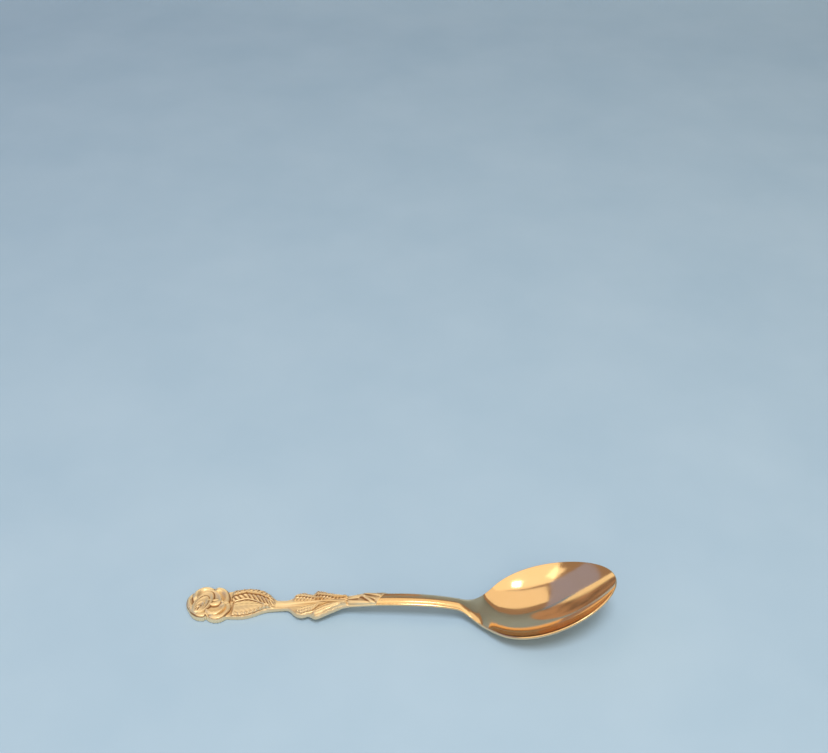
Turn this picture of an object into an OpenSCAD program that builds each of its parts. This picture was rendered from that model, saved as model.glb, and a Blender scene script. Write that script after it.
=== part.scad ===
// Souvenir spoon: a rose finial, a pair of leaves, a spray of four leaves, a bud sheath,
// an arched shank and an egg-shaped bowl, all gold plated. Millimetres.
// +X runs from the rose to the tip of the bowl and +Z is up. The spoon lies face up on Z = 0,
// resting on the flat back of the rose and on the heel of the bowl. Stations called s are
// distances along X from the rose's outer edge.

/* [Bowl] */
// Length of the bowl seen from above, from its heel to its tip
bowl_length = 36.6; // [32:0.2:42]
// Width of the bowl across its rim
bowl_width = 25.6; // [22:0.2:30]
// Depth of the bowl, square to its rim
bowl_depth = 6.2; // [5:0.1:8]
// Angle that the rim climbs from the heel to the tip
bowl_pitch = 22.5; // [15:0.5:26]
// How far the rim's side view sags below a straight line
rim_sag = 1.05; // [0:0.05:1.5]
// Metal thickness at the bottom of the bowl
bowl_gauge = 1.2; // [0.8:0.1:1.6]
// Metal thickness at the rim, measured upright
rim_gauge = 1; // [0.7:0.1:1.4]

/* [Handle] */
// Thickness of the struck blank that carries the rose and leaves
blank_t = 1.5; // [1.2:0.1:2]
// Height of the middle of the shank above its own back
shank_t = 2.1; // [1.8:0.1:2.6]
// Half width of the shank where it meets the bowl
shank_half = 2.05; // [1.8:0.05:2.4]
// Height that the shank's ridge stands above its edges
ridge_h = 0.9; // [0.5:0.1:1.1]

/* [Ornament] */
// Radius of the rose, from its middle to the edge of a petal
rose_r = 6.4; // [6.2:0.1:7]
// Height of a leaf's middle above the blank
leaf_h = 0.95; // [0.6:0.05:1.2]
// Height of a leaf's edge above the blank
leaf_edge = 0.3; // [0.2:0.05:0.5]
// Depth of the teeth along a leaf's edge
tooth = 0.2; // [0:0.02:0.3]
// Thickness of the bud sheath over the shank
sheath_t = 0.45; // [0.3:0.05:0.6]

/* [Hidden] */
$fn = 48;
polished = [0.93, 0.74, 0.42];
struck = [0.88, 0.68, 0.36];

// Stations along the handle
rose_s = rose_r;       // middle of the rose
strip_s = 9.5;         // the blank's strip comes out from under the rose
far_leaf_s = 12.7;     // each upper leaf starts beside the rose
near_leaf_s = 13.4;
leaf_bend_s = 20;      // the flat back ends and the blank starts to climb
link_s = 26;           // the upper leaves' tips, where the bare link starts
joint_s = 47.5;        // the blank meets the shank where the bud sheath starts
sheath_s = 56;         // end of the bud sheath along the middle line
neck_s = 82;           // the shank meets the bowl
heel_s = 85;           // the bowl's rim line starts
flare_start = 78;      // the shank's straight sides start to flare
flare_end = heel_s + 4.5;
blend_end = heel_s + 4.8;
total = heel_s + bowl_length;

// Side view of the blank's back, one straight climb for each group of ornament
blank_back = [[0, 0], [leaf_bend_s, 0], [link_s, 0.35], [36, 1.75], [joint_s, 3.7]];
// Side view of the shank's back, and its half width
shank_back = [[joint_s, 3.7], [53, 4.75], [57.5, 5.4], [64, 5.8], [70, 5.75], [76, 5.15],
              [80, 4.3], [heel_s, 2.4], [90, 0.4]];
shank_side = [[joint_s, 1.85], [53, 2], [57.5, 2.1], [64, 2.15], [72, shank_half],
              [neck_s, shank_half]];
back_round = 0.3;      // the shank's back rises this much at its edges

// Half outlines of the blank, on the far side (+Y) and on the near side of the upper leaves
link_half = 1.6;
upper_far = [[strip_s, 3.4], [13, 4.7], [17, 5.6], [20, 5.6], [22.5, 4.7], [24.7, 2.9],
             [link_s, link_half]];
upper_near = [[strip_s, 3.8], [12, 4.7], [15.5, 4.8], [18, 4.4], [20.5, 3.3], [23, 2.1],
              [link_s, link_half]];
// Where the two upper leaves part: the near one laps over the middle line
upper_parting = [[13, 0.3], [15, 1.2], [17.6, 1.9], [20.5, 1.1], [23, -0.2], [link_s, -0.5]];
// Half outline from the link to the shank. The spray sways towards the near side by less at its
// near edge than at its far edge.
spray_outline = [[link_s, link_half], [29.8, link_half], [30.7, 2.3], [32.2, 3.8], [34.2, 4.3],
                 [36.1, 3.7], [36.9, 4.4], [38.3, 5], [41.5, 3.6], [45, 2.2], [joint_s, 1.9]];
far_sway = 0.8;
near_sway = 0.25;
sway_span = [30, 46];
// Where the inner and outer leaves of the spray part, and the slanting start of the near inner leaf
notch_s = 36.1;
far_parting = [[notch_s, 2.9], [38, 1.5], [40, 0.8], [44, 0.7], [joint_s, 0.85]];
near_parting = [[notch_s, 3.9], [37.3, 3.5], [38.6, 2.2], [40.7, 1.2], [44, 0.85], [joint_s, 0.9]];
near_inner_start = [[31.2, 2.5], [32.5, 2.1], [33.4, 1.6], [34.5, 1.1], [36, 0.8]];
far_inner_leaf = [30.2, 40.2];                 // first and last station of each inner leaf
near_inner_leaf = [31.2, 42.2];
rib_half = [[link_s, 1.05], [30, 1], [36, 0.65], [44, 0.7], [joint_s, 0.85]];
rib_h = 0.7;

// Bowl shape
egg = 0.12;            // how much wider the bowl is towards its heel
deepest = 0.47;        // where the bowl is deepest, as a share of its length
fullness = 2.2;        // exponent of the bowl's lengthwise curve
section_power = 2.4;   // exponent of the bowl's crosswise curve
ridge_power = 3.2;     // exponent of the shank's crosswise curve, nearly flat on top
bowl_stations = 44;
bowl_columns = 20;
shank_step = 1;
shank_columns = 8;
tip_half = 0.25;       // half width of the bowl's last section, at its tip
over_all = [30, 40, 12];                       // a block longer, wider and higher than the ornament

// Rose
petal_edges = [-8, 82, 158, 212, 266, 352];    // the creases between the outer petals
// Each petal's rounded end: its angle, its radius, and its reach as a share of the ring's radius
petal_ends = [[25, 3.8, 1], [126, 3.5, 0.88], [186, 3.5, 1], [236, 3.5, 0.98], [323, 3.7, 1.19]];
inner_edges = [20, 150, 250, 380];
inner_ends = [[85, 1.9, 1], [200, 1.9, 1], [315, 1.9, 1]];
petal_crease = 5;
rose_core = [-1.4, -1.6];                      // the inner petals stand off the middle
shelf_z = blank_t + 0.6;
shelf_r = 4.9;
shelf_core_r = 3.6;
inner_r = 2.6;
inner_core_r = 1.5;
heart_r = 0.9;
heart_z = 2.6;
heart_h = 0.45;
heart_cone_h = 0.3;

// ---- functions ----

function mix(a, b, f) = a + (b - a) * f;
function smooth(f) = let (c = max(0, min(1, f))) c * c * (3 - 2 * c);

// A smooth curve through the rows [x, y] of a table, with a straight run past each end
function slope_at(p, i) = let (a = max(0, i - 1), b = min(len(p) - 1, i + 1))
    (p[b][1] - p[a][1]) / (p[b][0] - p[a][0]);
function curve(p, x, i = 0) =
    x > p[i + 1][0] && i < len(p) - 2 ? curve(p, x, i + 1) :
    let (w = p[i + 1][0] - p[i][0], f = (x - p[i][0]) / w)
    f < 0 ? p[0][1] + slope_at(p, 0) * (x - p[0][0]) :
    f > 1 ? p[i + 1][1] + slope_at(p, i + 1) * (x - p[i + 1][0]) :
    (1 + 2 * f) * pow(1 - f, 2) * p[i][1] + f * pow(1 - f, 2) * w * slope_at(p, i)
    + f * f * (3 - 2 * f) * p[i + 1][1] + f * f * (f - 1) * w * slope_at(p, i + 1);

function blank_top(s) = lookup(s, blank_back) + blank_t;

// The bowl by its share f of the way from heel to tip, with the rim at Z = 0 at the heel
function rim_rise(f) = bowl_length * tan(bowl_pitch) * f - 4 * rim_sag * f * (1 - f);
function bowl_sink(f) = bowl_depth / cos(bowl_pitch)
    * (1 - pow(abs(f - deepest) / (f < deepest ? deepest : 1 - deepest), fullness));
function egg_half(f) = bowl_width * sqrt(max(0, f * (1 - f))) * (1 + egg * (1 - 2 * f));
heel_z = bowl_gauge - min([for (i = [0:200]) rim_rise(i / 200) - bowl_sink(i / 200)]);

// Shank and bowl share one set of sections, so that they meet exactly at the neck
function share(s) = (s - heel_s) / bowl_length;
function blend(s) = smooth((s - flare_start) / (blend_end - flare_start));
function flare(s) = let (w = flare_end - flare_start, f = (s - flare_start) / w,
                         e = share(flare_end), d = 0.001)
    (1 + 2 * f) * pow(1 - f, 2) * shank_half + f * f * (3 - 2 * f) * egg_half(e)
    + f * f * (f - 1) * w * (egg_half(e + d) - egg_half(e - d)) / (2 * d * bowl_length);
function half_width(s) = s < flare_start ? curve(shank_side, s) :
    s < flare_end ? flare(s) : max(tip_half, egg_half(share(s)));
function rim_z(s) = heel_z + rim_rise(share(s));
function edge_top(s) = mix(curve(shank_back, s) + shank_t - ridge_h, rim_z(s), blend(s));
function mid_top(s) = mix(curve(shank_back, s) + shank_t,
                          rim_z(s) - max(0, bowl_sink(max(0, share(s)))), blend(s));
function edge_back(s) = mix(curve(shank_back, s) + back_round, rim_z(s) - rim_gauge, blend(s));
function mid_back(s) = mix(curve(shank_back, s),
    rim_z(s) - max(0, bowl_sink(max(0, share(s)))) - bowl_gauge, blend(s));
function arch(v, s) = 1 - pow(abs(v), mix(ridge_power, section_power, blend(s)));
function top_point(s, v) = [s, v * half_width(s), mix(edge_top(s), mid_top(s), arch(v, s))];
function back_point(s, v) = [s, v * half_width(s), mix(edge_back(s), mid_back(s), arch(v, s))];

// Crosswise places from -1 to 1, closer together near the edges
function columns(n) = [for (j = [0:n]) sin(-90 + 180 * j / n)];

// Edges of the blank, and of the toothed leaves that lie on it
upper_stations = 28;
tooth_pitch = 2;
function teeth(s) = tooth * (abs(((s / tooth_pitch) % 1) - 0.5) * 2 - 0.5);
margin = 0.15;         // the leaves stop this far inside the blank's edge
least_leaf = 0.2;      // narrowest width of a leaf, at its ends
leaf_gap = 0.05;       // slit between an inner and an outer leaf
function upper_edge(s, side) = curve(side == "left" ? upper_far : upper_near, s);
function sway(s, side) = (side == "left" ? -far_sway : near_sway)
    * sin(180 * max(0, min(1, (s - sway_span[0]) / (sway_span[1] - sway_span[0]))));
function spray_edge(s, side) = curve(spray_outline, s) + sway(s, side);
function parting(s, side) = curve(side == "left" ? far_parting : near_parting, s);
function upper_rim(s, side) = max(1, upper_edge(s, side) - margin + teeth(s));
function spray_rim(s, side) = spray_edge(s, side) - margin + teeth(s);

// ---- building blocks ----

// A closed solid between two grids of points, one above the other
module slab(top, back) {
    m = len(top);
    n = len(top[0]);
    function t(i, j) = i * n + j;
    function b(i, j) = m * n + i * n + j;
    rows = [0:m - 2];
    cols = [0:n - 2];
    polyhedron(
        points = [for (g = [top, back]) for (row = g) for (p = row) p],
        faces = [
            for (i = rows) for (j = cols) each [
                [t(i, j), t(i, j + 1), t(i + 1, j + 1)], [t(i, j), t(i + 1, j + 1), t(i + 1, j)],
                [b(i, j), b(i + 1, j + 1), b(i, j + 1)], [b(i, j), b(i + 1, j), b(i + 1, j + 1)]],
            for (i = rows) each [
                [t(i, 0), t(i + 1, 0), b(i + 1, 0)], [t(i, 0), b(i + 1, 0), b(i, 0)],
                [t(i, n - 1), b(i + 1, n - 1), t(i + 1, n - 1)],
                [t(i, n - 1), b(i, n - 1), b(i + 1, n - 1)]],
            for (j = cols) each [
                [t(0, j), b(0, j + 1), t(0, j + 1)], [t(0, j), b(0, j), b(0, j + 1)],
                [t(m - 1, j), t(m - 1, j + 1), b(m - 1, j + 1)],
                [t(m - 1, j), b(m - 1, j + 1), b(m - 1, j)]]],
        convexity = 6);
}

// Puts the handle's stations in the part's frame, with the origin midway along the spoon
module place() {
    translate([-total / 2, 0, 0]) children();
}

// A prism along Y from a side view drawn in X and Z
module side_view(points) {
    rotate([90, 0, 0]) linear_extrude(height = over_all[1], center = true) polygon(points);
}

// ---- bowl, shank and sheath ----

module bowl() {
    neck_rows = 12;
    neck_end = heel_s + 5;
    shell_rows = bowl_stations - neck_rows;
    stations = [
        for (i = [0:neck_rows - 1]) mix(neck_s, neck_end, i / neck_rows),
        for (i = [0:shell_rows]) mix(neck_end, total, sin(90 * i / shell_rows))];
    color(polished) place()
        slab([for (s = stations) [for (v = columns(bowl_columns)) top_point(s, v)]],
             [for (s = stations) [for (v = columns(bowl_columns)) back_point(s, v)]]);
}

shank_stations = [for (s = [joint_s:shank_step:neck_s - 0.1]) s, neck_s];

module shank() {
    color(polished) place()
        slab([for (s = shank_stations) [for (v = columns(shank_columns)) top_point(s, v)]],
             [for (s = shank_stations) [for (v = columns(shank_columns)) back_point(s, v)]]);
}

module bud_sheath() {
    slant = 36;            // the sheath ends along a slanting line, like a wrapped sepal
    wall = columns(shank_columns);
    stations = [for (s = shank_stations) if (s < sheath_s + 3) s];
    swell = [[joint_s, 0.25], [50, 0.7], [53.5, 1], [57, 0.7], [60, 0.6]];
    function skin(s) = sheath_t * curve(swell, s);
    function outer(s) = [
        [s, -half_width(s) - skin(s), edge_back(s)],
        for (v = wall) let (p = top_point(s, v)) [s, p[1] + v * skin(s), p[2] + skin(s)],
        [s, half_width(s) + skin(s), edge_back(s)]];
    function inner(s) = [
        [s, -half_width(s), edge_back(s)],
        for (v = wall) top_point(s, v),
        [s, half_width(s), edge_back(s)]];
    color(struck) place() intersection() {
        slab([for (s = stations) outer(s)], [for (s = stations) inner(s)]);
        translate([sheath_s, 0, 0]) rotate(-slant)
            translate([-over_all[0], -over_all[1] / 2, 0]) cube(over_all);
    }
}

// ---- blank and stem ----

module blank_outline() {
    function edge(side) = [
        for (s = [strip_s:0.5:link_s]) [s, upper_edge(s, side)],
        for (s = [link_s + 0.5:0.5:joint_s]) [s, spray_edge(s, side)]];
    far = edge("left");
    near = edge("right");
    polygon([each far, for (i = [len(near) - 1:-1:0]) [near[i][0], -near[i][1]]]);
}

module handle_blank() {
    back = blank_back;
    profile = [[-2, 0], [-2, blank_t], for (p = back) [p[0], p[1] + blank_t],
               for (i = [len(back) - 1:-1:1]) back[i]];
    color(struck) place() {
        translate([rose_s, 0, 0]) linear_extrude(height = blank_t) rose_outline();
        intersection() {
            linear_extrude(height = over_all[2]) blank_outline();
            side_view(profile);
        }
    }
}

module stem_rib() {
    stations = [for (s = [link_s:1:joint_s - 0.6]) s, joint_s];
    function half(s) = curve(rib_half, s);
    color(struck) place()
        slab([for (s = stations) [for (v = columns(6)) [s, v * half(s), blank_top(s) + 0.1
                                                         + rib_h * (1 - v * v)]]],
             [for (s = stations) [for (v = columns(6)) [s, v * half(s), blank_top(s)]]]);
}

// ---- leaves ----

// A leaf lying on the blank between two edges, low and high, that are functions of s
module leaf(stations, low, high, side) {
    share_across = [0, 0.2, 0.46, 0.54, 0.8, 1];
    rise = [0, 0.75, 1, 1, 0.75, 0];
    first = stations[0];
    last = stations[len(stations) - 1];
    function height(s, j) = let (f = (s - first) / (last - first))
        leaf_edge + (leaf_h - leaf_edge) * rise[j] * pow(sin(180 * mix(0.08, 0.92, f)), 0.5);
    color(struck) place() mirror([0, side == "left" ? 0 : 1, 0])
        slab([for (s = stations) [for (j = [0:5])
                 [s, mix(low(s), high(s), share_across[j]), blank_top(s) + height(s, j)]]],
             [for (s = stations) [for (j = [0:5])
                 [s, mix(low(s), high(s), share_across[j]), blank_top(s)]]]);
}

// The upper pair starts where the rose's petals end
module upper_leaf(side) {
    start = side == "left" ? far_leaf_s : near_leaf_s;
    stations = [for (i = [0:upper_stations]) mix(start, link_s, i / upper_stations)];
    leaf(stations, function(s) (side == "left" ? 1 : -1) * curve(upper_parting, s),
         function(s) upper_rim(s, side), side);
}

module lower_leaf_inner(side) {
    ends = side == "left" ? far_inner_leaf : near_inner_leaf;
    stations = [for (s = [ends[0]:0.5:ends[1]]) s];
    function inner_edge(s) = side == "left" ? curve(rib_half, s)
        : max(curve(rib_half, s), curve(near_inner_start, s));
    leaf(stations, function(s) inner_edge(s),
         function(s) max(inner_edge(s) + least_leaf,
                         s < notch_s ? spray_rim(s, side) : parting(s, side) - leaf_gap), side);
}

module lower_leaf_outer(side) {
    stations = [for (s = [notch_s + 0.1:0.5:joint_s]) s];
    function inner_edge(s) = max(curve(rib_half, s), parting(s, side));
    leaf(stations, function(s) inner_edge(s),
         function(s) max(inner_edge(s) + least_leaf, spray_rim(s, side)), side);
}

// ---- rose ----

function polar(r, a) = [r * cos(a), r * sin(a)];

module rose_outline() {
    for (e = petal_ends)
        translate(polar(e[2] * rose_r - e[1], e[0])) circle(r = e[1]);
}

// A ring of turned petals around a flat core, each cut to a round lobe, with a crease between
module petal_ring(section, edges, ends, radius, core_r, crease) {
    translate([0, 0, section[0][1]]) cylinder(r = core_r, h = section[1][1] - section[0][1]);
    for (i = [0:len(ends) - 1]) intersection() {
        rotate(edges[i] + crease / 2) rotate_extrude(angle = edges[i + 1] - edges[i] - crease)
            polygon([for (p = section) [p[0] * ends[i][2], p[1]]]);
        translate([each polar(ends[i][2] * radius - ends[i][1], ends[i][0]), 0])
            cylinder(r = ends[i][1], h = over_all[2]);
    }
}

module rose_outer_petals() {
    section = [[2.8, blank_t], [2.8, shelf_z], [shelf_r, shelf_z], [5.2, 2.75], [5.7, 2.95],
               [6.2, 2.7], [rose_r + 0.1, 2], [rose_r + 0.1, blank_t]];
    color(struck) place() translate([rose_s, 0, 0])
        petal_ring(section, petal_edges, petal_ends, rose_r, shelf_core_r, petal_crease);
}

module rose_inner_petals() {
    section = [[1.3, shelf_z], [1.3, heart_z], [1.5, 2.85], [1.9, 3.15], [2.25, 3.2],
               [inner_r + 0.1, 2.8], [inner_r + 0.1, shelf_z]];
    color(struck) place() translate([rose_s + rose_core[0], rose_core[1], 0])
        petal_ring(section, inner_edges, inner_ends, inner_r, inner_core_r, petal_crease);
}

module rose_heart() {
    color(struck) place() translate([rose_s + rose_core[0], rose_core[1], heart_z]) {
        cylinder(r = heart_r, h = heart_h);
        translate([0, 0, heart_h]) cylinder(r1 = heart_r, r2 = 0.4, h = heart_cone_h);
    }
}

bowl();
shank();
bud_sheath();
handle_blank();
stem_rib();
upper_leaf("left");  // upper_leaf_left
upper_leaf("right");  // upper_leaf_right
lower_leaf_inner("left");  // lower_leaf_inner_left
lower_leaf_inner("right");  // lower_leaf_inner_right
lower_leaf_outer("left");  // lower_leaf_outer_left
lower_leaf_outer("right");  // lower_leaf_outer_right
rose_outer_petals();
rose_inner_petals();
rose_heart();
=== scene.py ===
"""Gold-plated souvenir spoon with a relief rose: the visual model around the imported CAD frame.

Lengths are in millimetres until a mesh is made. A station is a distance along the spoon from the
outer edge of the rose, and x, y and z are in the frame's own axes.
"""

import math

import bmesh
import bpy
import numpy as np
from mathutils import Euler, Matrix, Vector
from mathutils.bvhtree import BVHTree


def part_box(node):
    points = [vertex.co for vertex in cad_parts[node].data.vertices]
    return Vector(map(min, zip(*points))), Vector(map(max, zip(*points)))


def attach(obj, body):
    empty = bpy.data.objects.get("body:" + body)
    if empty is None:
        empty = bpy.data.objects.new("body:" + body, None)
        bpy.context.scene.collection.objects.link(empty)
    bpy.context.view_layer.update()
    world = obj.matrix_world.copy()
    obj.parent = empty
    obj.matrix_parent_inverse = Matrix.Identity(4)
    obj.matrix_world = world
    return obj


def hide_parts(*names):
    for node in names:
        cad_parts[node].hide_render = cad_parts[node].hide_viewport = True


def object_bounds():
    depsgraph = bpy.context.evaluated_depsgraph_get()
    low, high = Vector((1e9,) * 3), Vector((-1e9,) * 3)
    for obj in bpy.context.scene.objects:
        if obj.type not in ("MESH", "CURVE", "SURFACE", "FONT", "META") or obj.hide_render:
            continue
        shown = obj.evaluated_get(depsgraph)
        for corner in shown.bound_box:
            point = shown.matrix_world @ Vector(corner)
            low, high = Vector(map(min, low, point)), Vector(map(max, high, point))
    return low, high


MM = 0.001

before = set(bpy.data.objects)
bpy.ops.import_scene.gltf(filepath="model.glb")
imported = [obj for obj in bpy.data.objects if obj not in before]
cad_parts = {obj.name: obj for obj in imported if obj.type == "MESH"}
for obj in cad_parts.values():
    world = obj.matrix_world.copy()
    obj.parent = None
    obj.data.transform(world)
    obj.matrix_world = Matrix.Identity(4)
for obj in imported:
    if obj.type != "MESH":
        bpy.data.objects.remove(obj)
cad_low, cad_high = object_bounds()
ROSE_END = cad_low.x / MM

# ---- reading the frame ----

SAME = 5e-4  # points this close in one coordinate belong to the same row


def levels(values):
    """The distinct values of a list, lowest first."""
    ordered = np.sort(values)
    return ordered[np.insert(np.diff(ordered) > SAME, 0, True)]


def net(node):
    """The upper and lower grids of points that a CAD solid was drawn between."""
    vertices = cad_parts[node].data.vertices
    points = np.array([v.co for v in vertices], float) / MM
    upper, lower = [], []
    for x in levels(points[:, 0]):
        row = points[abs(points[:, 0] - x) < SAME]
        places = levels(row[:, 1])
        stacks = [row[abs(row[:, 1] - y) < SAME][:, 2] for y in places]
        upper.append([(x, y, z.max()) for y, z in zip(places, stacks)])
        lower.append([(x, y, z.min()) for y, z in zip(places, stacks)])
    return np.array(upper), np.array(lower)


def resample(points, count):
    """Evenly shared places on a smooth curve through points, which run along axis 0."""
    first = 2 * points[0] - points[1]
    last = 2 * points[-1] - points[-2]
    padded = np.concatenate([first[None], points, last[None]])
    share = np.linspace(0, len(points) - 1, count)
    start = np.minimum(share.astype(int), len(points) - 2)
    f = (share - start).reshape((-1,) + (1,) * (points.ndim - 1))
    a, b, c, d = (padded[start + k] for k in range(4))
    return 0.5 * (
        2 * b + (c - a) * f + (2 * a - 5 * b + 4 * c - d) * f**2 + (3 * b - a - 3 * c + d) * f**3
    )


def fine(grid, rows, columns):
    """A grid of points resampled in both directions."""
    across = resample(grid, rows).transpose(1, 0, 2)
    return resample(across, columns).transpose(1, 0, 2)


def tree(node):
    """A CAD node's surface for casting rays, in millimetres."""
    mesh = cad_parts[node].data
    points = [v.co / MM for v in mesh.vertices]
    return BVHTree.FromPolygons(points, [tuple(p.vertices) for p in mesh.polygons])


def hit(surface, start, way, nudge=0.013, tries=9):
    """Where a ray first meets a surface, shifted a little if it slips through a seam."""
    for k in range(tries):
        aside = Vector((-way.z - way.y, 0.4 * way.z, way.y)) * nudge * k
        found = surface.ray_cast(Vector(start) + aside, way)[0]
        if found:
            return found
    return None


def box(node):
    """A CAD node's lowest and highest corners, in millimetres."""
    low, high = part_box(node)
    return np.array(low) / MM, np.array(high) / MM


# ---- building meshes ----

SHARP_ANGLE = math.radians(48)
MATERIALS = {}


def ease(f):
    """0 to 1 with a level start and end."""
    c = np.clip(f, 0, 1)
    return c * c * (3 - 2 * c)


def make(name, points, faces, crease, material, slot, *nodes):
    """A closed mesh from points in millimetres, standing for CAD nodes. crease, from 0 to 1 for each
    point, is how deep it lies in a groove; the gold material paints shade there in proportion."""
    mesh = bpy.data.meshes.new(name)
    mesh.from_pydata([tuple(p) for p in np.asarray(points) * MM], [], faces)
    shade = mesh.attributes.new("crease", "FLOAT", "POINT")
    shade.data.foreach_set("value", np.clip(crease, 0, 1).astype(np.float32))
    work = bmesh.new()
    work.from_mesh(mesh)
    bmesh.ops.recalc_face_normals(work, faces=work.faces)
    work.to_mesh(mesh)
    work.free()
    mesh.shade_smooth()
    mesh.set_sharp_from_angle(angle=SHARP_ANGLE)
    mesh.materials.append(MATERIALS[material])
    piece = bpy.data.objects.new(name, mesh)
    bpy.context.scene.collection.objects.link(piece)
    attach(piece, "root")
    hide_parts(*nodes)
    return piece


def grid_faces(index):
    """Four-sided faces between the neighbours of a grid of point numbers."""
    a, b, c, d = index[:-1, :-1], index[1:, :-1], index[1:, 1:], index[:-1, 1:]
    return np.stack([a, b, c, d], -1).reshape(-1, 4).tolist()


def shell(upper, lower, edge, tip=False, turns=6):
    """Points and faces of a plate between two grids, with its long edges rounded by edge. With
    tip the far end is rounded too, and otherwise both ends are flat."""
    m, n = upper.shape[:2]
    slope = np.gradient(upper[:, [0, -1], :2], axis=0)
    plan = np.stack([-slope[..., 1], slope[..., 0]], -1) * [[[-1], [1]]]
    plan /= np.linalg.norm(plan, axis=-1, keepdims=True)
    if tip:
        plan[..., 0] = np.maximum(plan[..., 0], 0)
    else:
        plan[..., 0] = 0
        plan[..., 1] = [[-1, 1]]
    upper, lower = upper.copy(), lower.copy()
    for grid in (upper, lower):
        middle = (grid[:, :1, 1] + grid[:, -1:, 1]) / 2
        half = np.maximum((grid[:, -1:, 1] - grid[:, :1, 1]) / 2, edge)
        grid[..., 0] -= edge * plan[:, 1:, 0]
        grid[..., 1] = middle + (grid[..., 1] - middle) * (1 - edge * plan[:, 1:, 1] / half)
    border = [(i, 0, plan[i, 0]) for i in range(m)]
    far = [(i, n - 1, plan[i, 1]) for i in range(m)]
    paths = [border, far]
    if tip:
        across = [(m - 1, j, np.array([1.0, 0])) for j in range(1, n - 1)]
        paths = [border + across + far[::-1]]
    points = [*upper.reshape(-1, 3), *lower.reshape(-1, 3)]
    number = np.arange(m * n).reshape(m, n)
    faces = grid_faces(number) + grid_faces(number + m * n)
    sides = {}
    for path in paths:
        ring = []
        for i, j, out in path:
            top, base = upper[i, j], lower[i, j]
            line = [number[i, j]]
            for k in range(1, turns):
                angle = math.pi * k / turns
                p = (top + base) / 2
                p[:2] += out * edge * math.sin(angle)
                p[2] += (top[2] - base[2]) / 2 * math.cos(angle)
                line.append(len(points))
                points.append(p)
            line.append(number[i, j] + m * n)
            ring.append(line)
            sides[i, j] = line
        faces += grid_faces(np.array(ring))
    for i in [0] if tip else [0, m - 1]:
        loop = [*number[i], *sides[i, n - 1][1:-1], *(number[i, ::-1] + m * n), *sides[i, 0][-2:0:-1]]
        faces.append([int(k) for k in loop])
    return np.array(points), faces


def padded(values, points):
    """Values for the first points of a mesh, followed by zeros for its other points."""
    flat = np.ravel(values)
    return np.concatenate([flat, np.zeros(len(points) - len(flat))])


def hollows(height, spread, depth):
    """How far each place of a height grid lies below the places up to spread away, from 0 to 1,
    which stands for depth."""
    wide = height.copy()
    for _ in range(spread * spread):
        edge = np.pad(wide, 1, mode="edge")
        wide = (edge[:-2, 1:-1] + edge[2:, 1:-1] + edge[1:-1, :-2] + edge[1:-1, 2:]) / 4
    return np.clip((wide - height) / depth, 0, 1)


# ---- materials ----


class Look:
    """A material's node tree, with short calls for making and joining nodes."""

    def __init__(self, name):
        self.material = bpy.data.materials.new(name)
        self.material.use_nodes = True
        self.tree = self.material.node_tree
        self.shader = self.tree.nodes["Principled BSDF"]
        MATERIALS[name] = self.material

    def node(self, kind, **settings):
        made = self.tree.nodes.new(kind)
        for key, value in settings.items():
            if key in made.inputs:
                made.inputs[key].default_value = value
            else:
                setattr(made, key, value)
        return made

    def join(self, source, target):
        self.tree.links.new(source, target)

    def place(self, scale=(1, 1, 1)):
        """Object coordinates in millimetres, stretched by scale."""
        spot = self.node("ShaderNodeTexCoord")
        stretch = self.node("ShaderNodeMapping")
        stretch.inputs["Scale"].default_value = [k / MM for k in scale]
        self.join(spot.outputs["Object"], stretch.inputs["Vector"])
        return stretch.outputs["Vector"]

    def noise(self, scale, detail, stretch=(1, 1, 1)):
        made = self.node("ShaderNodeTexNoise", Scale=scale, Detail=detail, Roughness=0.55)
        self.join(self.place(stretch), made.inputs["Vector"])
        return made.outputs["Fac"]

    def span(self, source, low, high, to_low, to_high):
        """Maps source from low..high to to_low..to_high and holds it there."""
        made = self.node("ShaderNodeMapRange")
        limits = {"From Min": low, "From Max": high, "To Min": to_low, "To Max": to_high}
        for key, value in limits.items():
            made.inputs[key].default_value = value
        self.join(source, made.inputs["Value"])
        return made.outputs["Result"]

    def mix(self, factor, first, second):
        """A colour between two, each a colour or an output."""
        made = self.node("ShaderNodeMix", data_type="RGBA")
        self.join(factor, made.inputs["Factor"])
        for key, value in (("A", first), ("B", second)):
            socket = [s for s in made.inputs if s.name == key and s.type == "RGBA"][0]
            if isinstance(value, tuple):
                socket.default_value = (*value, 1)
            else:
                self.join(value, socket)
        return [s for s in made.outputs if s.type == "RGBA"][0]

    def math(self, how, first, second):
        made = self.node("ShaderNodeMath", operation=how)
        for k, value in enumerate((first, second)):
            if isinstance(value, (int, float)):
                made.inputs[k].default_value = value
            else:
                self.join(value, made.inputs[k])
        return made.outputs[0]

    def bump(self, height, distance, under=None):
        """A surface normal raised by up to distance, in millimetres, over the normal under it."""
        made = self.node("ShaderNodeBump", Distance=distance * MM, Strength=1.0)
        self.join(height, made.inputs["Height"])
        if under:
            self.join(under, made.inputs["Normal"])
        return made.outputs["Normal"]


# Noise scales in the gold, in waves per millimetre
PATCHES = 0.16
SMEARS = 0.5
SCRATCHES = 5
GRAINS = 3
WORN = (1.02, 1.05, 1.14)  # how much paler than fresh gold the worn patches are
CREASE_DULL = 0.3  # roughness added in the deepest creases


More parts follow.
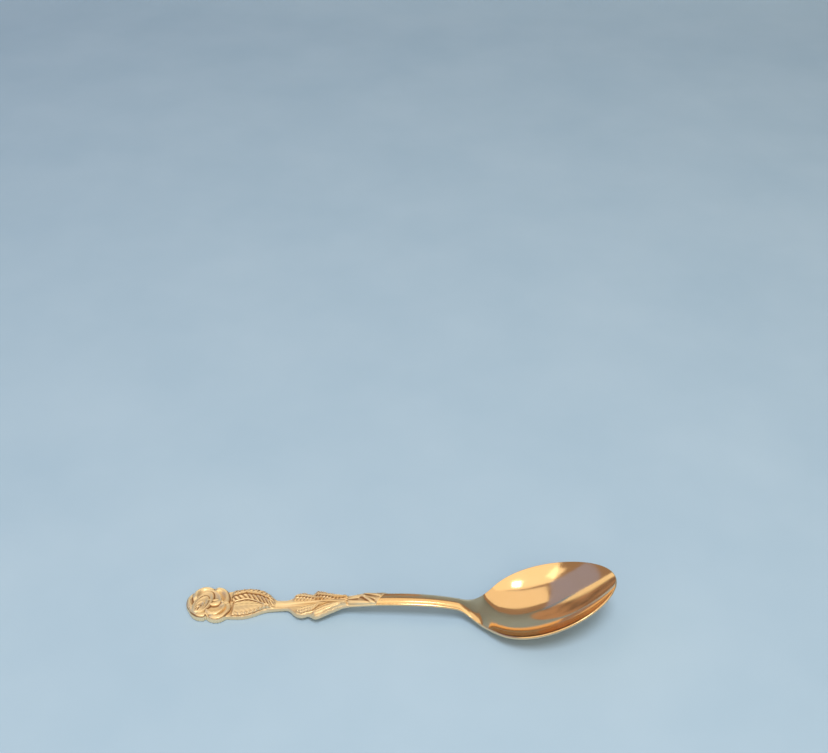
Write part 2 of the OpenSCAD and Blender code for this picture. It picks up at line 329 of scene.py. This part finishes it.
def gold(name, colour, deep, roughness, scratch, grain, metallic=1.0):
    """Gold plate: warm metal with painted shade darkening its creases, faint smears, fine scratches
    and grain. scratch and grain are heights in millimetres."""
    look = Look(name)
    crease = look.node("ShaderNodeAttribute", attribute_name="crease").outputs["Fac"]
    worn = tuple(min(1, c * k) for c, k in zip(colour, WORN))
    patchy = look.span(look.noise(PATCHES, 4), 0.35, 0.7, 0, 0.55)
    tint = look.mix(patchy, colour, worn)
    smear = look.noise(SMEARS, 5, (0.35, 1, 1))
    # painted shade: the creases are darkened towards a dark brown, a little unevenly along the smears
    painted_crease_shade = look.math("MULTIPLY", crease, look.span(smear, 0.3, 0.7, 0.75, 1.0))
    look.join(look.mix(painted_crease_shade, tint, deep), look.shader.inputs["Base Color"])
    shine = look.span(smear, 0.35, 0.75, roughness * 0.8, roughness * 1.35)
    dulled = look.math("MULTIPLY", crease, CREASE_DULL)
    look.join(look.math("ADD", shine, dulled), look.shader.inputs["Roughness"])
    look.shader.inputs["Metallic"].default_value = metallic
    lines = look.bump(look.noise(SCRATCHES, 2, (0.05, 1, 1)), scratch)
    pitted = look.bump(look.noise(GRAINS, 4), grain, under=lines)
    look.join(pitted, look.shader.inputs["Normal"])


# The dark brown that is painted into the creases as painted shade
CREASE_SHADE = (0.30, 0.13, 0.045)
STRUCK = (0.98, 0.79, 0.50)
gold("bowl gold", (0.93, 0.67, 0.40), CREASE_SHADE, 0.12, 0.0016, 0.001)
gold("shank gold", (0.95, 0.68, 0.39), CREASE_SHADE, 0.18, 0.003, 0.002)
gold("blank gold", (0.95, 0.74, 0.47), CREASE_SHADE, 0.34, 0.003, 0.008, 0.85)
gold("leaf gold", STRUCK, CREASE_SHADE, 0.33, 0.002, 0.008, 0.8)
gold("rose metal", STRUCK, CREASE_SHADE, 0.32, 0.002, 0.006, 0.8)

# ---- bowl and shank ----

# Rows along each piece's mesh and columns across it
BOWL_GRID = (240, 121)
SHANK_GRID = (220, 49)
SHEATH_GRID = (300, 61)
STEM_GRID = (200, 31)
LEAF_GRID = (190, 72)

# Radius of the rounding on the bowl's rim and on the shank's sides
RIM_EDGE = 0.36
SIDE_EDGE = 0.3


def bowl():
    upper, lower = net("bowl")
    upper, lower = fine(upper, *BOWL_GRID), fine(lower, *BOWL_GRID)
    points, faces = shell(upper, lower, RIM_EDGE, tip=True, turns=8)
    make("bowl_shell", points, faces, padded([], points), "bowl gold", "polished_gold", "bowl")


def shank():
    upper, lower = net("shank")
    upper, lower = fine(upper, *SHANK_GRID), fine(lower, *SHANK_GRID)
    points, faces = shell(upper, lower, SIDE_EDGE)
    make("shank_bar", points, faces, padded([], points), "shank gold", "polished_gold", "shank")


# ---- ridges, used by the sheath, the stem and the leaves ----


def band(distance, width):
    """1 where distance is 0, falling smoothly to 0 on both sides."""
    return np.exp(-((distance / width) ** 2))


def ridge(x, y, start, end, width):
    """1 along the line from start to end, falling smoothly to 0 beside it."""
    a, b = np.array(start), np.array(end)
    along = b - a
    f = ((x - a[0]) * along[0] + (y - a[1]) * along[1]) / (along @ along)
    f = np.clip(f, 0, 1)
    gap = np.hypot(x - a[0] - f * along[0], y - a[1] - f * along[1])
    return band(gap, width)


THIN_END = 0.06  # share of its height that the sheath or a leaf keeps at its very end
SINK = 1.8  # how far the sheath starts before the shank, below the stem
SINK_DEPTH = 0.9  # how far down it starts
SINK_NARROW = 0.3  # the share of its width that it loses there
SHEATH_INSET = 1.2  # its end crosses the middle this far before the far end of the CAD sheath
SHEATH_SLANT = 0.75  # how far the sheath's end leans over half its width, as a share of it
SHEATH_LIFT = 0.5  # its lower edge is this far above the shank's back
SHEATH_THIN = 0.3  # it is at least this thick
SHEATH_THICK = 1.2  # and at most this thick
SHEATH_EDGE = 0.18
SEPAL_FALL = 0.7  # the last stretch, where the sheath thins to its end


def bud_sheath():
    """Sepals wrapped over the start of the shank, ending on a slanting raised band."""
    low, high = box("bud_sheath")
    joint, end = low[0], high[0] - SHEATH_INSET
    shank_top, shank_back = net("shank")
    rows, columns = SHEATH_GRID
    across = resample(shank_top.transpose(1, 0, 2), columns)
    under = resample(shank_back.transpose(1, 0, 2), columns)
    share = across[:, 0, 1] / across[-1, 0, 1]
    along = np.linspace(0, 1, rows)[:, None]
    half = across[-1, 2, 1]
    finish = end + SHEATH_SLANT * half * share
    x = joint - SINK + (finish - joint + SINK) * along
    stations = shank_top[:, 0, 0]
    width = np.interp(x, stations, across[-1, :, 1])
    climb = (across[0, 1, 2] - across[0, 0, 2]) / (stations[1] - stations[0])
    before = climb * np.minimum(x - joint, 0)
    top = [np.interp(x[:, k], stations, across[k, :, 2]) for k in range(columns)]
    back = [np.interp(x[:, k], stations, under[k, :, 2]) for k in range(columns)]
    top, back = np.stack(top, 1) + before, np.stack(back, 1) + before
    y = share * width
    swell = 0.10 + 0.24 * np.sin(np.pi * np.clip((x - joint) / 11, 0, 1)) ** 0.8
    # Each sepal's raised band: its two ends, its half width and its height
    bands = [
        ((end - 1.5, -2.3), (end + 1.7, 2.3), 0.42, 0.24),
        ((end - 1.5, -2.3), (end - 5.6, 0.7), 0.36, 0.20),
        ((end - 5.0, 0.4), (joint - 1, 1.0), 0.36, 0.20),
        ((end - 2.6, -2.0), (joint - 1, -0.9), 0.45, 0.20),
        ((end - 0.4, 0.4), (end - 6.0, 1.9), 0.30, 0.18),
        ((end - 2.0, -0.6), (end - 7.0, 1.3), 0.22, 0.10),
        ((joint + 2.4, 0.1), (joint - 1, 0.1), 0.32, 0.16),
    ]
    relief = sum(h * ridge(x, y, a, b, w) for a, b, w, h in bands)
    fade = ease((finish - x) / SEPAL_FALL)
    skin = (swell + relief) * (THIN_END + (1 - THIN_END) * fade) * (1 - 0.55 * abs(share) ** 6)
    sunk = 1 - ease((x - joint + SINK) / SINK)
    spread = share * (width + 0.8 * skin) * (1 - SINK_NARROW * sunk)
    upper = np.stack([x, spread, top + skin - SINK_DEPTH * sunk], -1)
    depth = np.minimum(back + SHEATH_LIFT + 0.4 * sunk, upper[..., 2] - SHEATH_THIN)
    lower = np.stack([x, upper[..., 1], np.maximum(depth, upper[..., 2] - SHEATH_THICK)], -1)
    points, faces = shell(upper, lower, SHEATH_EDGE)
    groove = hollows(relief, 5, 0.05)
    make("bud_sepals", points, faces, padded(groove, points), "leaf gold", "relief_gold", "bud_sheath")


# ---- blank and stem ----

BLANK_EDGE = 0.28
PLATE_EDGE = 0.15
PLATE_INSET = 0.5  # the rose's plate stops this far inside the petals
STRIP_START = 3.4  # the strip starts this far from the rose's middle
STRIP_CLEAR = 4.6  # its back meets the plate's back from here on
STRIP_LIFT = 0.04  # and is this much higher before that
STRIP_STEP = 0.25
STRIP_END = 0.001  # its last row is this far before the blank's end
LAST_STEP = 0.02  # the row before that is at least this far from the end
TUCK = 4  # the last stretch of the strip thins so that it hides in the sheath
TUCK_BACK = 0.28  # how far its back rises there
TUCK_TOP = 0.12  # how far its top sinks
TUCK_SIDES = 0.05  # the share of its width that it loses
RELIEF_EDGE = 0.12
# Where rays start: above and beside the whole spoon, below it, and off its middle line
RAY_OUTSIDE = 20
RAY_BELOW = -5
RAY_ASIDE = 0.3
RAY_INSIDE = 0.05  # rays meet the blank at least this far from its end
STRAND_HEIGHT = 0.1  # the stem's strands rise and fall by this
STRAND_WIDTH = 0.75
STRAND_TURN = 7  # a strand moves over by its own width in this length
STEM_TUCK = 1.6  # the last stretch of the stem dives under the sheath
STEM_DIVE = 0.6  # how far it dives
STEM_SINK = 0.2  # how far the stem's back lies in the blank
LEAF_SINK = 0.15  # the same of a leaf's back
LEAF_CROWN = 0.22  # how much higher a leaf's middle stands than its edges
VEIN_SLANT = 0.95  # how far a vein runs along the leaf for each millimetre from the midrib


def reach(node, centre, height, angles, far=9.0):
    """How far a CAD node goes from centre at a height, at each angle."""
    surface = tree(node)
    found = []
    for a in angles:
        way = Vector((math.cos(a), math.sin(a), 0))
        start = Vector((*centre, height)) + way * far
        gap = surface.ray_cast(start, -way, far)[3]
        found.append(far - (gap or 0))
    return np.array(found)


def around(radius, passes, closing=0):
    """A ring of radii smoothed a little, once slots of up to twice closing places are filled."""
    ring = np.max([np.roll(radius, k) for k in range(-closing, closing + 1)], axis=0)
    for _ in range(passes):
        ring = (np.roll(ring, 1) + 2 * ring + np.roll(ring, -1)) / 4
    return ring


def disc(centre, radius, angles, height, base, edge, rings=70, steps=5, drop=None):
    """Points and faces of a flat-backed disc with an uneven outline. height(x, y) is its top,
    and its upper rim is rounded by edge over a height of drop."""
    drop = drop or edge
    points, ring_numbers = [], []
    shares = np.sqrt(np.linspace(0, 1, rings + 1)[1:])
    outward = np.stack([np.cos(angles), np.sin(angles)], 1)
    inner = radius - edge
    for share in shares:
        spot = centre + outward * (inner * share)[:, None]
        ring_numbers.append(len(points) + np.arange(len(angles)))
        points += [(x, y, height(x, y)) for x, y in spot]
    rim = centre + outward * inner[:, None]
    crest = np.array([height(x, y) for x, y in rim])
    for k in range(1, steps + 1):
        turn = math.pi / 2 * k / steps
        spot = centre + outward * (inner + edge * math.sin(turn))[:, None]
        ring_numbers.append(len(points) + np.arange(len(angles)))
        points += [(x, y, z - drop * (1 - math.cos(turn))) for (x, y), z in zip(spot, crest)]
    ring_numbers.append(len(points) + np.arange(len(angles)))
    points += [(x, y, base) for x, y in centre + outward * radius[:, None]]
    wrapped = np.array([np.append(r, r[0]) for r in ring_numbers])
    faces = grid_faces(wrapped)
    top = len(points)
    points.append((*centre, height(*centre)))
    first, last = ring_numbers[0], ring_numbers[-1]
    faces += [[top, int(first[i]), int(first[(i + 1) % len(first)])] for i in range(len(first))]
    faces.append([int(k) for k in last])
    return np.array(points), faces


ROSE_MIDDLE = 6.4  # station of the rose's middle
ROSE = np.array([ROSE_END + ROSE_MIDDLE, 0.0])
ANGLES = np.linspace(0, 2 * math.pi, 288, endpoint=False)
PLATE_TOP = box("rose_outer_petals")[0][2]
RING = around(reach("rose_outer_petals", ROSE, PLATE_TOP + 0.2, ANGLES), 4, 5)


def handle_blank():
    """The rose's flat plate, and the strip that carries the leaves and the stem."""
    plate = RING - PLATE_INSET
    points, faces = disc(ROSE, plate, ANGLES, lambda x, y: PLATE_TOP, 0.0, PLATE_EDGE, rings=4)
    surface = tree("handle_blank")
    high = box("handle_blank")[1]
    stations = np.arange(ROSE[0] + STRIP_START, high[0] - LAST_STEP, STRIP_STEP)
    stations = np.append(stations, high[0] - STRIP_END)
    up, aside = Vector((0, 0, 1)), Vector((0, 1, 0))
    upper, lower = [], []
    for x in stations:
        inside = min(x, high[0] - RAY_INSIDE)
        top = hit(surface, (inside, RAY_ASIDE, RAY_OUTSIDE), -up).z
        back = hit(surface, (inside, RAY_ASIDE, RAY_BELOW), up).z
        middle = (top + back) / 2
        near = hit(surface, (inside, -RAY_OUTSIDE, middle), aside).y
        far = hit(surface, (inside, RAY_OUTSIDE, middle), -aside).y
        across = np.linspace(near, far, 15)
        upper.append([(x, y, top) for y in across])
        lower.append([(x, y, back) for y in across])
    upper, lower = np.array(upper), np.array(lower)
    for grid in (upper, lower):
        for _ in range(4):
            grid[1:-1, :, 1:] = (grid[:-2, :, 1:] + 2 * grid[1:-1, :, 1:] + grid[2:, :, 1:]) / 4
    under_rose = 1 - ease(upper[..., 0] - ROSE[0] - STRIP_CLEAR)
    lower[..., 2] += STRIP_LIFT * under_rose
    close = ease((upper[..., 0] - high[0] + TUCK) / TUCK)
    lower[..., 2] += TUCK_BACK * close
    upper[..., 2] -= TUCK_TOP * close
    for grid in (upper, lower):
        grid[..., 1] *= 1 - TUCK_SIDES * close
    strip_points, strip_faces = shell(upper, lower, BLANK_EDGE)
    shift = len(points)
    faces += [[int(k) + shift for k in f] for f in strip_faces]
    points = np.concatenate([points, strip_points])
    flat = padded([], points)
    make("blank_strip", points, faces, flat, "blank gold", "blank_gold", "handle_blank")


def stem_rib():
    upper, lower = net("stem_rib")
    upper, lower = fine(upper, *STEM_GRID), fine(lower, *STEM_GRID)
    x, y = upper[..., 0], upper[..., 1]
    share = (x - x.min()) / (x.max() - x.min())
    turns = y / STRAND_WIDTH + (x - x.min()) / STRAND_TURN
    twist = STRAND_HEIGHT * np.cos(2 * math.pi * turns)
    strands = twist * ease((share - 0.45) / 0.2)
    upper[..., 2] += strands - STEM_DIVE * ease((x - x.max() + STEM_TUCK) / STEM_TUCK)
    lower[..., 2] -= STEM_SINK
    points, faces = shell(upper, lower, RELIEF_EDGE)
    groove = hollows(strands, 3, 0.06)
    make("stem_strands", points, faces, padded(groove, points), "leaf gold", "relief_gold", "stem_rib")


# ---- leaves ----


def leaf(node, midrib, towards, pitch, depth, bead, margin, bead_pitch, lip):
    """A veined leaf over a CAD leaf. midrib lists (station, y) along its middle, towards is +1
    where its tip points to the bowl, bead is the height of the row of beads near its edge,
    margin is how far in from the edge they run and lip is how far its inner edge is raised."""
    upper, lower = net(node)
    far_side = upper[..., 1].mean() > 0
    upper, lower = fine(upper, *LEAF_GRID), fine(lower, *LEAF_GRID)
    x, y = upper[..., 0], upper[..., 1]
    line = np.interp(x[:, 0], [ROSE_END + s for s, _ in midrib], [v for _, v in midrib])
    off = y - line[:, None]
    outer = (y[:, -1:] - y) if far_side else (y - y[:, :1])
    inner = (y - y[:, :1]) if far_side else (y[:, -1:] - y)
    phase = (towards * x - VEIN_SLANT * abs(off)) / pitch
    wave = 1 - abs(2 * (phase % 1) - 1)
    veins = depth * (wave**1.4 - 0.5) * ease(abs(off) / 0.5) * ease(outer / 0.7)
    rib = 1.3 * depth * band(off, 0.24)
    fold = -0.9 * depth * band(abs(off) - 0.42, 0.2)
    beads = 0.5 + 0.5 * np.cos(2 * math.pi * x / bead_pitch)
    border = bead * beads * band(outer - margin, 0.26)
    gutter = -0.7 * bead * band(outer - margin + 0.42, 0.16)
    start, finish = (0.8, 2.4) if towards > 0 else (1.6, 1.2)
    ends = ease((x - x.min()) / start) * ease((x.max() - x) / finish)
    crown = LEAF_CROWN * np.sin(math.pi * np.clip(outer / (outer + inner + 1e-6), 0, 1))
    raised = lip * band(inner - 0.3, 0.35)
    relief = (veins + rib + fold + border + gutter + crown + raised) * ends
    body = upper[..., 2] - lower[..., 2]
    upper[..., 2] = lower[..., 2] + (body + relief) * (THIN_END + (1 - THIN_END) * ends)
    lower[..., 2] -= LEAF_SINK
    points, faces = shell(upper, lower, RELIEF_EDGE)
    groove = hollows(relief, 5, 0.06)
    make(node + "_veined", points, faces, padded(groove, points), "leaf gold", "relief_gold", node)


# Each leaf's node, midrib, direction, vein pitch and depth, bead height, margin and pitch, and lip
LEAVES = [
    ("upper_leaf_left", [(12, 2.0), (17, 3.7), (21, 3.1), (26.5, 0.6)],
     1, 1.3, 0.30, 0.16, 0.4, 0.8, 0.0),
    ("upper_leaf_right", [(12, -2.0), (17.5, -1.0), (21, -0.9), (26.5, -0.3)],
     1, 1.5, 0.03, 0.24, 0.5, 1.0, 0.5),
    ("lower_leaf_inner_left", [(30, 2.6), (34, 2.0), (38, 1.1), (40, 0.9)],
     -1, 0.95, 0.18, 0.14, 0.4, 0.8, 0.0),
    ("lower_leaf_inner_right", [(31, -3.0), (34, -2.8), (38, -1.5), (42, -0.9)],
     -1, 0.8, 0.04, 0.16, 0.7, 0.8, 0.15),
    ("lower_leaf_outer_left", [(35, 3.0), (39, 2.2), (43, 1.2), (47, 0.9)],
     -1, 0.95, 0.20, 0.14, 0.4, 0.8, 0.0),
    ("lower_leaf_outer_right", [(36, -4.4), (39, -3.3), (43, -1.7), (47, -1.0)],
     -1, 0.8, 0.04, 0.04, 0.5, 0.8, 0.35),
]


def leaves():
    for row in LEAVES:
        leaf(*row)


# ---- rose ----


def petal(x, y, centre, axes, turn, crest, cup, roll, lean, side):
    """Height of a cupped oval petal with a rolled edge. Its long axis lies at turn degrees and
    lean tips its edge up towards side degrees. x and y are from the rose's middle."""
    dx, dy = x - centre[0], y - centre[1]
    away, angle = math.hypot(dx, dy), math.atan2(dy, dx)
    local = angle - math.radians(turn)
    size = 1 / math.hypot(math.cos(local) / axes[0], math.sin(local) / axes[1])
    top = crest + lean * math.cos(angle - math.radians(side)) * min(1, away / size)
    lip = size - roll
    if away < lip:
        return top - cup * (1 - (away / lip) ** 2.4)
    if away < size:
        return top - ROLL_DROP * ((away - lip) / roll) ** 2
    return top - ROLL_DROP - EDGE_FALL * (away - size)


ROLL_DROP = 0.32  # how far a petal's rolled edge falls
EDGE_FALL = 2.2  # how steeply the height falls beyond it
SHELF = 0.25  # the outer ring's lowest height above the plate
OUTER_ROLL = 1.1  # width of an outer petal's rolled edge
OUTER_LEAN = 0.15  # how far its edge is tipped up
OUTER_SIDE = 80  # it is tipped towards this many degrees past its own angle
WHORL_LEAN = 0.1
WHORL_SIDE = 70  # each petal of a whorl is tipped this many degrees further round
RING_BASE = 0.35  # the outer petals wrap down to this height
RING_EDGE = 0.8
RING_DROP = 1.35
INNER_INSET = 0.45  # the inner petals stay this far inside the outer ring
INNER_LIMIT = 5.7  # and this close to the rose's middle
INNER_EDGE = 0.1
BUD_CENTRE = np.array([-2.1, -2.6])
BUD_REACH = 2.8
# Each outer petal's angle, lobe radius, reach, crest height and cup depth
OUTER = [(25, 3.8, 6.4, 2.8, 1.2), (126, 3.5, 5.6, 2.7, 1.0), (186, 3.5, 6.4, 2.5, 0.9),
         (236, 3.5, 6.3, 2.35, 0.8), (323, 3.7, 7.6, 2.3, 0.9)]
# Centre, half axes, turn, crest height, cup depth and roll of the petals of the inner whorl
INNER = [((2.2, -2.0), (3.3, 2.8), 10, 2.6, 0.6, 0.7),
         ((0.9, 1.0), (3.3, 2.5), -35, 2.8, 0.5, 0.5),
         ((-1.4, -0.9), (4.4, 2.4), 66, 2.85, 0.35, 0.5),
         ((-1.8, -1.8), (3.4, 1.75), 66, 3.0, 0.3, 0.45)]
# The same of the petals wrapped around the bud
CORE = [((-2.15, -2.8), (2.3, 1.25), 64, 3.12, 0.3, 0.4),
        ((-2.4, -3.6), (1.2, 0.85), 60, 3.22, 0.28, 0.32),
        ((-2.45, -3.7), (0.75, 0.24), 66, 3.2, 0.0, 0.2)]


def outer_height(x, y):
    """The five outer petals, which rise only on their outer sides."""
    dx, dy = x - ROSE[0], y - ROSE[1]
    base = PLATE_TOP + SHELF
    heights = [base]
    for degrees, lobe, far, crest, cup in OUTER:
        a = math.radians(degrees)
        centre = ((far - lobe) * math.cos(a), (far - lobe) * math.sin(a))
        lean = (OUTER_LEAN, degrees + OUTER_SIDE)
        rise = petal(dx, dy, centre, (lobe, lobe), 0, crest, cup, OUTER_ROLL, *lean) - base
        turned = math.cos(math.atan2(dy - centre[1], dx - centre[0]) - a)
        heights.append(base + rise * float(ease((turned + 0.4) / 0.8)))
    return max(heights)


def whorl_height(table, x, y):
    dx, dy = x - ROSE[0], y - ROSE[1]
    heights = [petal(dx, dy, *row, WHORL_LEAN, WHORL_SIDE * k) for k, row in enumerate(table)]
    return max(max(heights), PLATE_TOP + 0.1)


def inner_height(x, y):
    return whorl_height(INNER, x, y)


def core_height(x, y):
    return whorl_height(CORE, x, y)


def groove_of(points, height, spread=0.4, depth=0.1):
    """How deep each point of a disc lies below the mean height around it, from 0 to 1."""
    found = []
    turns = np.linspace(0, 2 * math.pi, 8, endpoint=False)
    for x, y, z in points:
        near = [height(x + spread * math.cos(a), y + spread * math.sin(a)) for a in turns]
        found.append((sum(near) / len(near) - z) / depth)
    return np.clip(found, 0, 1) * (points[:, 2] > PLATE_TOP + 0.2)


def bud_limits(inset):
    """How far the bud goes from its centre at each angle without leaving the inner petals."""
    limits = []
    for a in ANGLES:
        size = BUD_REACH
        while size > 1:
            spot = BUD_CENTRE + size * np.array([math.cos(a), math.sin(a)])
            turn = math.atan2(spot[1], spot[0]) % (2 * math.pi)
            edge = np.interp(turn, ANGLES, inset, period=2 * math.pi)
            if np.linalg.norm(spot) < edge - 0.1:
                break
            size -= 0.05
        limits.append(size)
    return around(limits, 6)


def whorl(name, centre, radius, height, node, **settings):
    """A disc of petals over a CAD node."""
    points, faces = disc(centre, radius, ANGLES, height, **settings)
    tops = groove_of(points, height)
    make(name, points, faces, tops, "rose metal", "rose_gold_relief", node)


def rose():
    outer = {"base": RING_BASE, "edge": RING_EDGE, "steps": 10, "drop": RING_DROP}
    whorl("rose_outer_ring", ROSE, RING, outer_height, "rose_outer_petals", **outer)
    inset = np.minimum(RING - INNER_INSET, INNER_LIMIT)
    inner = {"base": PLATE_TOP, "edge": INNER_EDGE}
    whorl("rose_inner_whorl", ROSE, inset, inner_height, "rose_inner_petals", rings=90, **inner)
    whorl("rose_bud", ROSE + BUD_CENTRE, bud_limits(inset), core_height, "rose_heart", **inner)


# ---- floor, light and camera ----

VIEW_TURN = math.radians(3.29)
VIEW_PITCH = math.radians(38.15)
VIEW_FROM = (16.83, -205.82, 249.1)
LENS_MM = 47.83
FLOOR_COLOURS = [(0.33, 0.48, 0.66), (0.36, 0.51, 0.69)]
FLOOR_GAP = 0.05


def stage_mesh(name, points, faces, material):
    mesh = bpy.data.meshes.new(name)
    mesh.from_pydata(points, [], faces)
    mesh.shade_smooth()
    mesh.materials.append(MATERIALS[material])
    piece = bpy.data.objects.new(name, mesh)
    bpy.context.scene.collection.objects.link(piece)
    return piece


def floor():
    """A pale blue sheet that lies flat under the spoon and curves up far behind it."""
    look = Look("floor paint")
    mottle = look.span(look.noise(0.02, 3), 0.3, 0.7, 0, 1)
    look.join(look.mix(mottle, FLOOR_COLOURS[0], FLOOR_COLOURS[1]), look.shader.inputs["Base Color"])
    look.shader.inputs["Roughness"].default_value = 0.8
    look.shader.inputs["Specular IOR Level"].default_value = 0.2
    look.join(look.bump(look.noise(1.5, 3), 0.02), look.shader.inputs["Normal"])
    half_width, bend_start, bend, height = 1.6, 0.45, 0.3, 1.0
    rows = [(-half_width, 0), (bend_start, 0)]
    for a in np.linspace(0.1, math.pi / 2, 14):
        rows.append((bend_start + bend * math.sin(a), bend * (1 - math.cos(a))))
    rows.append((bend_start + bend, height))
    points = [(x, y, z - FLOOR_GAP * MM) for y, z in rows for x in (-half_width, half_width)]
    faces = [(2 * i, 2 * i + 1, 2 * i + 3, 2 * i + 2) for i in range(len(rows) - 1)]
    stage_mesh("floor", points, faces, "floor paint")


LIGHT_AIM = Vector((0.02, 0, 0.005))
WARM = (1.0, 0.88, 0.60)
WHITE = (1.0, 0.97, 0.92)


def lamp(name, turn, rise, distance, size, watts, colour, mirrored=True):
    """A soft panel seen from the spoon at turn degrees from +Y towards +X and rise degrees up.
    One that is not mirrored lights the scene but is not seen in the gold."""
    light = bpy.data.lights.new(name, "AREA")
    light.shape = "RECTANGLE"
    light.size, light.size_y = size
    light.energy = watts
    light.color = colour
    piece = bpy.data.objects.new(name, light)
    a, e = math.radians(turn), math.radians(rise)
    way = Vector((math.sin(a) * math.cos(e), math.cos(a) * math.cos(e), math.sin(e)))
    piece.location = LIGHT_AIM + way * distance
    piece.rotation_euler = (-way).to_track_quat("-Z", "Y").to_euler()
    piece.visible_glossy = mirrored
    bpy.context.scene.collection.objects.link(piece)


# Where the glowing sheet's cream ends and its brown starts, along x
CREAM_END = -42
BROWN_START = -28


def mirrored_glow_sheet():
    """An upright sheet behind the spoon that glows and that only the metal mirrors, a painted
    reflection: cream at its left and a mottled warm brown at its right."""
    look = Look("reflector paint")
    place = look.node("ShaderNodeSeparateXYZ")
    look.join(look.place(), place.inputs["Vector"])
    across = look.span(place.outputs["X"], CREAM_END, BROWN_START, 0, 1)
    mottle = look.span(look.noise(0.07, 3), 0.42, 0.58, 0, 1)
    brown = look.mix(mottle, (0.14, 0.08, 0.05), (0.42, 0.25, 0.15))
    # painted reflection: the sheet glows cream and brown by its own emission
    look.join(look.mix(across, (0.95, 0.80, 0.52), brown), look.shader.inputs["Emission Color"])
    look.shader.inputs["Emission Strength"].default_value = 1.0
    look.shader.inputs["Base Color"].default_value = (0.02, 0.02, 0.02, 1)
    wide, tall, off = (-95, 6), (4, 72), 62
    corners = [(wide[0], tall[0]), (wide[1], tall[0]), (wide[1], tall[1]), (wide[0], tall[1])]
    points = [(a * MM, off * MM, c * MM) for a, c in corners]
    piece = stage_mesh("mirrored_glow_sheet", points, [(0, 1, 2, 3)], "reflector paint")
    piece.visible_camera = piece.visible_diffuse = piece.visible_shadow = False


def lights():
    lamp("overhead", 172, 69, 0.9, (0.26, 0.26), 5.0, WHITE, mirrored=False)
    lamp("front panel", 175, 42, 1.0, (2.2, 0.72), 4.4, WARM)
    lamp("ceiling panel", 180, 88, 1.0, (1.7, 0.9), 3.2, WARM)
    lamp("window", 179, 51, 0.9, (0.2, 0.13), 0.55, WHITE)
    lamp("left panel", -130, 29, 0.9, (0.18, 0.2), 0.1, (1.0, 0.88, 0.62))
    lamp("left sheet", -82, 30, 0.75, (0.9, 0.5), 0.45, (0.05, 0.35, 1.0))
    world = bpy.data.worlds.new("studio")
    world.use_nodes = True
    sky = world.node_tree.nodes["Background"]
    sky.inputs["Color"].default_value = (0.66, 0.46, 0.32, 1)
    sky.inputs["Strength"].default_value = 0.5
    bpy.context.scene.world = world


def camera():
    lens = bpy.data.cameras.new("view")
    lens.lens = LENS_MM
    lens.clip_start, lens.clip_end = 0.01, 10
    piece = bpy.data.objects.new("view", lens)
    piece.location = Vector(VIEW_FROM) * MM
    piece.rotation_euler = Euler((math.pi / 2 - VIEW_PITCH, 0, VIEW_TURN))
    bpy.context.scene.collection.objects.link(piece)
    bpy.context.scene.camera = piece
    bpy.context.scene.view_settings.view_transform = "Standard"


bowl()
shank()
bud_sheath()
handle_blank()
stem_rib()
leaves()
rose()
floor()
mirrored_glow_sheet()
lights()
camera()
